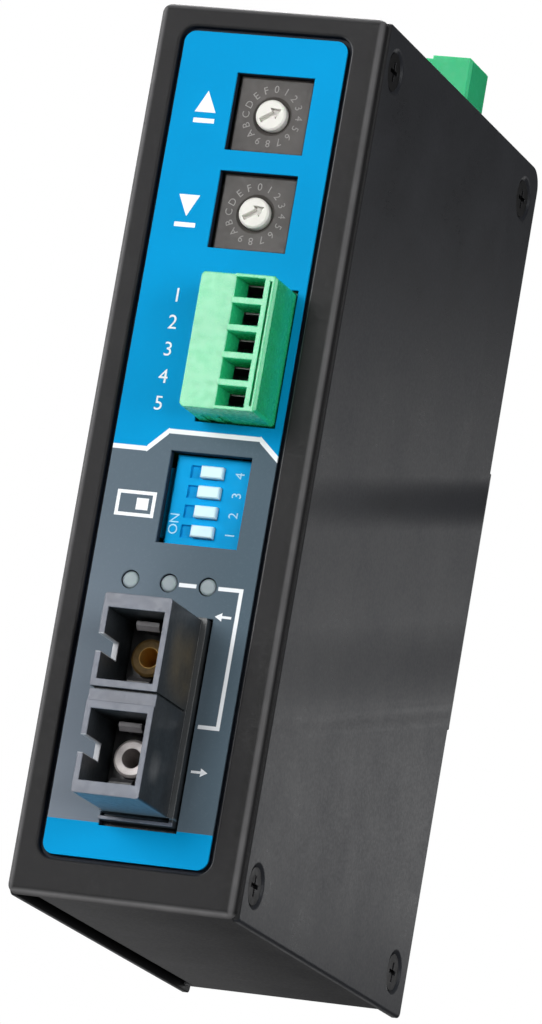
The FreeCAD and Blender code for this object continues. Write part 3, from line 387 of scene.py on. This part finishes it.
def port_black():
    """Black transceiver body with light rims on its two front faces."""
    m = Mat("port_black", IOR=1.5)
    bev = m.bevel(0.15)
    grain = m.noise(1500.0, 3.0, 0.55)
    cloud = m.noise(240.0, 3.0, 0.6)
    rim = m.ramp(m.y, -84.80, -84.70, 1.0, 0.0)
    web = m.both(m.ramp(m.y, -84.50, -84.40, 1.0, 0.0), m.inside(m.z, -34.7, -33.05))
    # pale moulded inserts: keyways, lip below the nose; the underside is painted paler and bluish, a painted reflection
    # of the blue label below it
    keys = m.both(m.both(m.ramp(m.x, -3.35, -3.25, 1.0, 0.0), m.ramp(m.y, -79.25, -79.15, 1.0, 0.0)), m.either(m.inside(m.z, -28.6, -26.2), m.inside(m.z, -41.3, -38.9)))
    lip = m.both(m.ramp(m.z, -46.80, -46.75, 1.0, 0.0), m.ramp(m.y, -73.7, -73.6, 1.0, 0.0))
    under = m.both(m.inside(m.z, -46.4, -46.14), m.ramp(m.y, -84.5, -73.6, 1.0, 0.8))
    # painted highlight: the right-hand end of the foot at the panel is painted paler where light catches it
    collar_highlight = m.both(m.ramp(m.x, 4.78, 4.85, 0.0, 1.0), m.both(m.inside(m.y, -73.95, -73.6), m.ramp(m.z, -46.3, -46.2, 0.0, 1.0)))
    dark = m.tint((0.020, 0.024, 0.028), 0.3, m.ramp(cloud, 0.3, 0.7, 0.0, 1.0))
    # a warm patch and a paler one on the right-hand side
    side = m.ramp(m.x, 4.55, 4.65, 0.0, 1.0)
    warm = m.both(m.inside(m.y, -82.0, -74.0, 3.0), m.inside(m.z, -31.6, -24.2, 3.5))
    pale = m.both(m.inside(m.y, -82.4, -79.8, 1.6), m.inside(m.z, -42.8, -40.0, 1.8))
    mottle = m.ramp(cloud, 0.35, 0.65, 0.35, 1.0)
    dark = m.mix(m.both(m.both(side, warm), mottle), dark, (0.080, 0.064, 0.038))
    dark = m.mix(m.both(m.both(side, pale), mottle), dark, (0.13, 0.135, 0.14))
    light = m.tint((0.090, 0.101, 0.130), 0.14, m.ramp(cloud, 0.3, 0.7, 0.0, 1.0))
    # painted reflection: the underside takes the blue of the label below it
    dark = m.mix(under, dark, (0.075, 0.115, 0.150))
    dark = m.mix(collar_highlight, dark, (0.055, 0.058, 0.060))
    m.set("Base Color", m.mix(keys, m.mix(m.either(rim, web, lip), dark, light), (0.30, 0.31, 0.33)))
    m.set("Roughness", m.ramp(grain, 0.3, 0.7, 0.34, 0.46))
    m.set("Normal", m.bump(grain, 0.10, 0.03, bev))
    return m


def latch_insert():
    """Snap arms: pale above each sleeve, dark below it and on the plate behind."""
    m = Mat("latch_insert", IOR=1.48)
    grain = m.noise(1700.0, 3.0, 0.55)
    cloud = m.noise(160.0, 2.0, 0.5)
    pale = m.both(m.ramp(m.y, -76.0, -75.6, 1.0, 0.0), m.either(m.ramp(m.z, -27.4, -27.3, 0.0, 1.0), m.inside(m.z, -40.1, -33.0)))
    dark = m.tint((0.028, 0.028, 0.030), 0.25, m.ramp(cloud, 0.3, 0.7, 0.0, 1.0))
    m.set("Base Color", m.mix(pale, dark, m.tint((0.26, 0.25, 0.26), 0.10, m.ramp(cloud, 0.3, 0.7, 0.0, 1.0))))
    m.set("Roughness", m.ramp(grain, 0.3, 0.7, 0.39, 0.51))
    m.set("Normal", m.bump(grain, 0.12, 0.03, m.bevel(0.14)))
    return m


amber = amber_sleeve()
board = board_mask()
port = port_black()
latch = latch_insert()

LOOK = {
    "front_panel": bezel_paint, "front_label": label, "chassis": chassis_paint, "left_cover": cover_paint, "right_cover": cover_paint,
    "cover_screws": black_steel, "rail_plate": rail_black, "rail_spring": spring_steel, "rail_plate_screws": steel,
    "main_board": board, "power_board": board, "lamp_board": board, "board_spacers": steel, "board_screws": steel, "power_board_screws": steel,
    "board_link_pins": black, "board_link_socket": black, "rotary_switch_upper": switch_face, "rotary_switch_lower": switch_face,
    "rotary_dial_upper": white, "rotary_dial_lower": white, "mode_switch_body": switch_blue,
    "serial_header": green, "power_header": green_top, "serial_plug": green, "power_plug": green_top,
    "serial_header_pins": tin, "power_header_pins": tin, "serial_plug_contacts": dull, "power_plug_contacts": dull,
    "fibre_housing": port, "fibre_latches": latch, "fibre_sleeve_upper": amber, "fibre_sleeve_lower": sleeve_bright, "fibre_pins": tin,
    "light_guide": milky, "status_lamps": lamp_white, "processor_chip": chip, "interface_chips": chip, "power_transformer": chip, "power_capacitors": chip,
}
for name, o in NODES.items():
    look = LOOK.get(name)
    if look is None:
        look = slider_white if name.startswith("mode_slider") else dull if "_clamp_" in name else steel
    o.data.materials.clear()
    o.data.materials.append(look.m)


# ---------------------------------------------------------------- small print
def glyphs(name, items, mat, body, depth=0.012):
    """One mesh of flat printed characters. items: (text, size, x, y, z, turn in degrees), in mm, facing the front."""
    verts, faces = [], []
    for text, size, x, y, z, turn in items:
        cu = bpy.data.curves.new("t", "FONT")
        cu.body, cu.size = text, size
        cu.align_x, cu.align_y = "CENTER", "CENTER"
        cu.extrude = depth / 2
        cu.resolution_u = 3
        ob = bpy.data.objects.new("t", cu)
        scene.collection.objects.link(ob)
        bpy.context.view_layer.update()
        me = bpy.data.meshes.new_from_object(ob.evaluated_get(bpy.context.evaluated_depsgraph_get()))
        t = Matrix.Translation((x, y - depth / 2, z)) @ Matrix.Rotation(math.radians(-turn), 4, "Y") @ Matrix.Rotation(math.radians(90), 4, "X")
        start = len(verts)
        lo = Vector((min(v.co.x for v in me.vertices), min(v.co.y for v in me.vertices), 0))
        hi = Vector((max(v.co.x for v in me.vertices), max(v.co.y for v in me.vertices), 0))
        mid = (lo + hi) / 2
        verts += [tuple((t @ (v.co - mid)) * MM) for v in me.vertices]
        faces += [tuple(start + i for i in p.vertices) for p in me.polygons]
        bpy.data.objects.remove(ob)
        bpy.data.curves.remove(cu)
        bpy.data.meshes.remove(me)
    me = bpy.data.meshes.new(name)
    me.from_pydata(verts, [], faces)
    me.materials.append(mat.m)
    o = bpy.data.objects.new(name, me)
    scene.collection.objects.link(o)
    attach(o, body)
    return o


def shapes(name, polys, y, mat, body, depth=0.012):
    """One mesh of flat printed polygons, each a list of (x, z) in mm counted anticlockwise seen from the front."""
    verts, faces = [], []
    for pts in polys:
        k, n = len(verts), len(pts)
        verts += [(x * MM, (y - depth) * MM, z * MM) for x, z in pts] + [(x * MM, y * MM, z * MM) for x, z in pts]
        faces.append(tuple(k + i for i in range(n)))
        faces.append(tuple(k + n + i for i in reversed(range(n))))
        faces += [(k + i, k + n + i, k + n + (i + 1) % n, k + (i + 1) % n) for i in range(n)]
    me = bpy.data.meshes.new(name)
    me.from_pydata(verts, [], faces)
    me.materials.append(mat.m)
    o = bpy.data.objects.new(name, me)
    scene.collection.objects.link(o)
    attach(o, body)
    return o


def ink(name, colour, rough=0.5):
    m = Mat(name, IOR=1.45)
    m.set("Specular IOR Level", 0.2)
    fine = m.noise(2500.0, 3.0, 0.6)
    m.set("Base Color", m.tint(colour, 0.10, m.ramp(fine, 0.3, 0.7, 0.0, 1.0)))
    m.set("Roughness", m.ramp(fine, 0.3, 0.7, rough - 0.06, rough + 0.06))
    m.set("Normal", m.bump(fine, 0.1, 0.01))
    return m


ink_white = ink("ink_white", (0.80, 0.83, 0.86))
ink_dial = ink("ink_dial", (0.27, 0.26, 0.25))
ink_sky = ink("ink_sky", (0.42, 0.74, 0.93))

for tag, zc in (("upper", 44.05), ("lower", 31.3)):
    items = []
    for i, ch in enumerate("0123456789ABCDEF"):
        a = math.radians(90 - 22.5 * i)
        items.append((ch, 1.35, 1.65 + 3.55 * math.cos(a), -71.55, zc + 3.55 * math.sin(a), -22.5 * i))
    glyphs("dial_figures_" + tag, items, ink_dial, "case")

items = [(str(i + 1), 1.75, 5.35, -70.9, -9.71 + 2.54 * i, 90) for i in range(4)]
items += [("ON", 1.75, -2.25, -70.9, -8.9, 90)]
glyphs("mode_switch_figures", items, ink_sky, "case")

items = [(str(i + 1), 2.6, -6.3, -72.7, 19.82 - 3.5 * i, 0) for i in range(5)]
glyphs("terminal_figures", items, ink_white, "case")

def box_poly(x0, x1, z0, z1):
    return [(x0, z0), (x1, z0), (x1, z1), (x0, z1)]


def arrow(x, z, s, sign):
    """Short arrow along X; sign +1 points right."""
    pts = [(-1.5, -0.22), (0.2, -0.22), (0.2, -0.75), (1.5, 0.0), (0.2, 0.75), (0.2, 0.22), (-1.5, 0.22)]
    pts = [(x + s * sign * a, z + s * b) for a, b in pts]
    return pts if sign > 0 else pts[::-1]


marks = [
    [(-8.3, 43.6), (-5.5, 43.6), (-6.9, 46.4)], box_poly(-8.3, -5.5, 42.2, 42.8),
    [(-7.0, 30.0), (-5.6, 32.8), (-8.4, 32.8)], box_poly(-8.4, -5.6, 28.6, 29.2),
    # outline of a small slide switch
    box_poly(-9.6, -4.4, -6.0, -5.55), box_poly(-9.6, -4.4, -8.85, -8.4), box_poly(-9.6, -9.15, -8.4, -6.0), box_poly(-4.85, -4.4, -8.4, -6.0),
    box_poly(-6.9, -5.3, -7.95, -6.45),
    arrow(7.0, -20.4, 0.72, -1), arrow(7.4, -40.0, 0.72, 1),
]
shapes("label_marks", marks, -72.7, ink_white, "case")

# ---------------------------------------------------------------- camera
F_PX, IMG_W, IMG_H = 7732.0, 542, 1024
right = Vector((0.9365, 0.3086, 0.1667)).normalized()
down = Vector((0.0935, 0.2386, -0.9666))
down = (down - right * down.dot(right)).normalized()
ahead = right.cross(down)
cam = bpy.data.cameras.new("camera")
cam.sensor_width = 36.0
cam.lens = F_PX / IMG_H * 36.0
cam.clip_start, cam.clip_end = 0.05, 20.0
cam_o = bpy.data.objects.new("camera", cam)
cam_o.matrix_world = Matrix.Translation(Vector((333.46, -951.38, -192.27)) * MM) @ Matrix((right, -down, -ahead)).transposed().to_4x4()
scene.collection.objects.link(cam_o)
scene.camera = cam_o

# ---------------------------------------------------------------- floor, light
scene.view_settings.view_transform = "Standard"
scene.view_settings.look = "None"
MID = Vector((0.0, -0.036, 0.0))


def area(name, way, dist, size, radiance, size_y=None, colour=(1, 1, 1), aim=MID):
    li = bpy.data.lights.new(name, "AREA")
    li.shape = "RECTANGLE"
    li.size, li.size_y = size, size_y or size
    li.energy = radiance * math.pi * li.size * li.size_y
    li.color = colour
    o = bpy.data.objects.new(name, li)
    d = Vector(way).normalized()
    o.location = aim + d * dist
    o.rotation_mode = "QUATERNION"
    o.rotation_quaternion = d.to_track_quat("Z", "Y")
    o.visible_camera = False
    scene.collection.objects.link(o)
    return o


# low and strong side lights shine on the object only, so they leave no bright patch or hard line on the floor
lit = bpy.data.collections.new("object_only")
for o in scene.collection.all_objects:
    if o.type == "MESH":
        lit.objects.link(o)
own_lights = []
area("key", (-0.345, -0.914, 0.2146), 1.0, 0.42, 10.0)
own_lights.append(area("fill_right", (0.85, -0.42, 0.10), 1.1, 0.6, 5.4))
own_lights.append(area("front_right", (0.60, -0.80, 0.02), 1.2, 0.5, 4.6))
own_lights.append(area("below", (-0.28, -0.41, -0.87), 1.0, 0.6, 3.3))
own_lights.append(area("left", (-0.90, -0.25, 0.36), 1.0, 0.6, 7.5))
area("top", (0.0, -0.2, 1.0), 1.0, 0.6, 1.5)
own_lights.append(area("rear_card", (0.345, 0.92, 0.060), 0.42, 0.45, 0.78, 0.042))
area("rear_card_upper", (0.345, 0.92, 0.190), 0.425, 0.45, 0.37, 0.070)
own_lights.append(area("rear_low_left", (-0.36, 0.90, -0.24), 0.8, 0.5, 0.20, 0.25))
area("rear_high", (-0.55, 0.70, 0.60), 1.1, 0.6, 2.0)
own_lights.append(area("rear_fill", (-0.25, 0.58, 0.78), 1.1, 0.6, 14.0))
for o in own_lights:
    o.light_linking.receiver_collection = lit
# the undersides that stand out from the panel catch light from the white ground below
under = bpy.data.collections.new("plug_and_ports_only")
for o in lit.objects:
    if o.name.startswith(("serial_plug", "fibre_")):
        under.objects.link(o)
glow = area("ground_glow", (-0.1, -0.22, -0.97), 0.8, 0.4, 5.5, colour=(0.62, 0.90, 1.0))
glow.light_linking.receiver_collection = under
glow.visible_glossy = False

world = bpy.data.worlds.new("studio")
scene.world = world
world.use_nodes = True
wn = world.node_tree
wn.nodes.clear()
wo = wn.nodes.new("ShaderNodeOutputWorld")
lp = wn.nodes.new("ShaderNodeLightPath")
seen = wn.nodes.new("ShaderNodeBackground")
seen.inputs[0].default_value, seen.inputs[1].default_value = (1, 1, 1, 1), 1.0
soft = wn.nodes.new("ShaderNodeBackground")
soft.inputs[0].default_value, soft.inputs[1].default_value = (1, 1, 1, 1), 0.06
ws = wn.nodes.new("ShaderNodeMixShader")
wn.links.new(lp.outputs["Is Camera Ray"], ws.inputs[0])
wn.links.new(soft.outputs[0], ws.inputs[1])
wn.links.new(seen.outputs[0], ws.inputs[2])
wn.links.new(ws.outputs[0], wo.inputs[0])

# The photograph looks up at the object from below its base, so the floor it stands on is one-sided: it shows from above only.
fl = bpy.data.meshes.new("floor")
R, N = 1.6, 64
base_z = CAD_LO.z - 0.00002
pts = [(0.0, -0.036, base_z)] + [(R * math.cos(2 * math.pi * i / N), -0.036 + R * math.sin(2 * math.pi * i / N), base_z) for i in range(N)]
fl.from_pydata(pts, [], [(0, 1 + i, 1 + (i + 1) % N) for i in range(N)])
floor = bpy.data.objects.new("floor", fl)
scene.collection.objects.link(floor)
fm = bpy.data.materials.new("floor_pale")
fm.use_nodes = True
ft = fm.node_tree
ft.nodes.clear()
fo = ft.nodes.new("ShaderNodeOutputMaterial")
fd = ft.nodes.new("ShaderNodeBsdfDiffuse")
fd.inputs[0].default_value = (0.86, 0.86, 0.86, 1)
fx = ft.nodes.new("ShaderNodeBsdfTransparent")
fg = ft.nodes.new("ShaderNodeNewGeometry")
fs = ft.nodes.new("ShaderNodeMixShader")
tc = ft.nodes.new("ShaderNodeTexCoord")
ln = ft.nodes.new("ShaderNodeVectorMath")
ln.operation = "LENGTH"
ft.links.new(tc.outputs["Object"], ln.inputs[0])
mr = ft.nodes.new("ShaderNodeMapRange")
mr.interpolation_type = "SMOOTHSTEP"
for i, v in enumerate((0.0, 0.35, 1.5, 0.0, 1.0)):
    mr.inputs[i].default_value = v
ft.links.new(ln.outputs["Value"], mr.inputs[0])
mx = ft.nodes.new("ShaderNodeMath")
mx.operation = "MAXIMUM"
ft.links.new(mr.outputs[0], mx.inputs[0])
ft.links.new(fg.outputs["Backfacing"], mx.inputs[1])
ft.links.new(mx.outputs[0], fs.inputs[0])
ft.links.new(fd.outputs[0], fs.inputs[1])
ft.links.new(fx.outputs[0], fs.inputs[2])
ft.links.new(fs.outputs[0], fo.inputs[0])
fl.materials.append(fm)
only = bpy.data.collections.new("floor_only")
only.objects.link(floor)
area("floor_wash", (0.0, 0.0, 1.0), 1.6, 2.4, 0.85).light_linking.receiver_collection = only
floor.visible_diffuse = floor.visible_glossy = floor.visible_transmission = floor.visible_shadow = False
